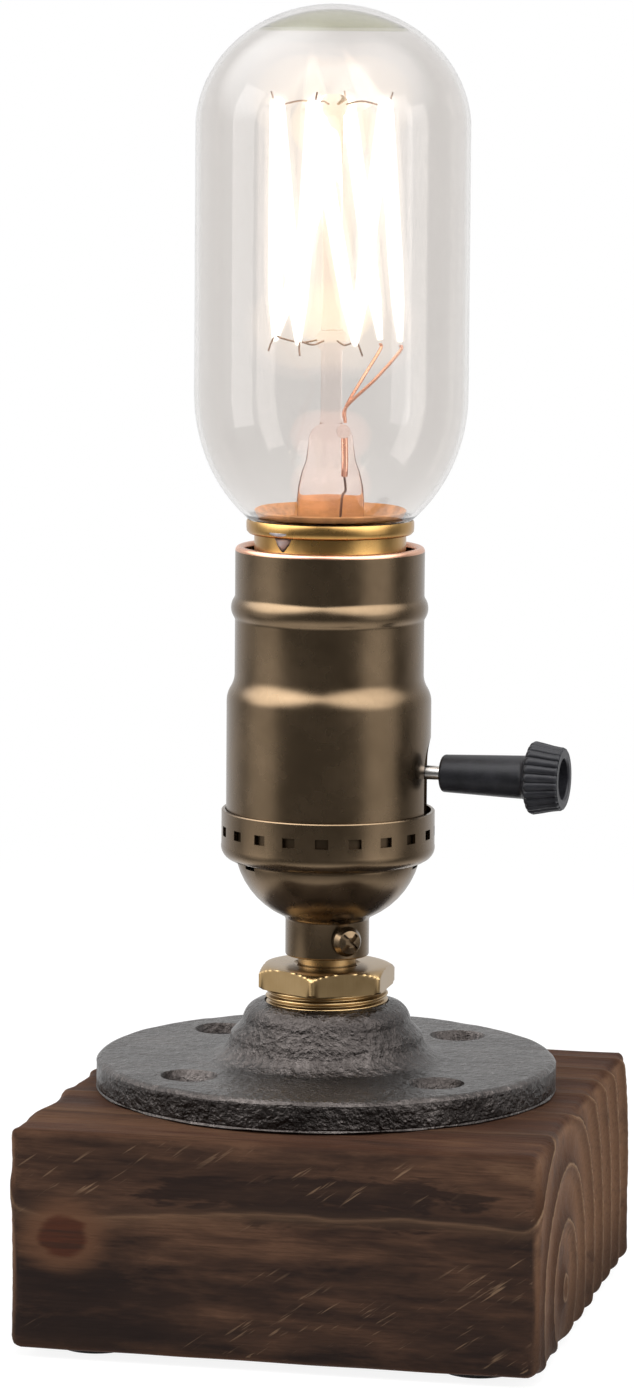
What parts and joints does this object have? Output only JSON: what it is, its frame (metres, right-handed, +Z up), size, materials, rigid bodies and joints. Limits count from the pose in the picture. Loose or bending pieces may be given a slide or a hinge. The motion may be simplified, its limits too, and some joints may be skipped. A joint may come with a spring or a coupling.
{
  "type": "bare bulb table lamp",
  "caption": "Bare tubular filament bulb in a brass key socket on a cast floor flange and a square charred wood block.",
  "frame": {"origin": "middle of the lamp's footprint, on the surface it stands on", "axes": "+Z up along the lamp, +X along the block's front edge and its grain towards the switch knob's side, -Y to the front"},
  "size_m": [0.0872, 0.0882, 0.2166],
  "materials": {
    "charred_wood": "burnt and brushed softwood, satin",
    "felt": "black felt",
    "raw_cast_iron": "raw sand-cast, dull sheen",
    "zinc_steel": "zinc plated",
    "yellow_brass": "machined",
    "antique_brass": "brushed antique finish",
    "fibre": "vulcanised fibre",
    "phenolic": "moulded",
    "black_plastic": "satin moulded",
    "clear_glass": "clear",
    "stem_glass": "clear",
    "cap_brass": "drawn, bright",
    "black_glass": "glossy",
    "solder": "dull",
    "copper_wire": "drawn",
    "support_wire": "dull",
    "filament_glow": "glowing"
  },
  "bodies": {
    "root": {"wood_block": "charred_wood", "felt_pads": "felt", "clamp_washer": "zinc_steel", "clamp_nut": "zinc_steel", "threaded_rod": "yellow_brass", "pipe_flange": "raw_cast_iron", "hex_bushing": "yellow_brass", "socket_cap": "antique_brass", "neck_screw": "antique_brass", "cap_disc": "fibre", "socket_shell": "antique_brass", "shell_liner": "fibre", "switch_body": "phenolic", "terminal_screws": "yellow_brass", "screw_shell": "yellow_brass", "shell_rivets": "yellow_brass", "centre_contact": "yellow_brass"},
    "key": {"switch_shaft": "zinc_steel", "switch_rotor": "phenolic", "turn_knob": "black_plastic"},
    "bulb_lift": {"bulb_insulator": "black_glass", "bulb_tip": "solder"},
    "bulb_turn": {"bulb_glass": "clear_glass", "bulb_cap": "cap_brass", "cap_solder": "solder", "bulb_stem": "stem_glass", "top_supports": "support_wire", "foot_supports": "support_wire", "lead_wires": "copper_wire", "filament": "filament_glow"}
  },
  "joints": [
    {"name": "key_turn", "type": "hinge", "parent": "root", "child": "key", "pos_m": [-0.0011, 0.0011, 0.0914], "axis": [0.9968, -0.0802, 0], "continuous": true},
    {"name": "bulb_lift", "type": "slide", "parent": "root", "child": "bulb_lift", "axis": [0, 0, 1], "range_m": [0, 0.0122]},
    {"name": "bulb_turn", "type": "hinge", "parent": "bulb_lift", "child": "bulb_turn", "pos_m": [-0.0011, 0.0011, 0.12], "axis": [0, 0, 1], "range_deg": [0, 1188]}
  ],
  "couplings": [
    {"joint": "bulb_lift", "follows": "bulb_turn", "m_per_rad": 0.00057757}
  ]
}
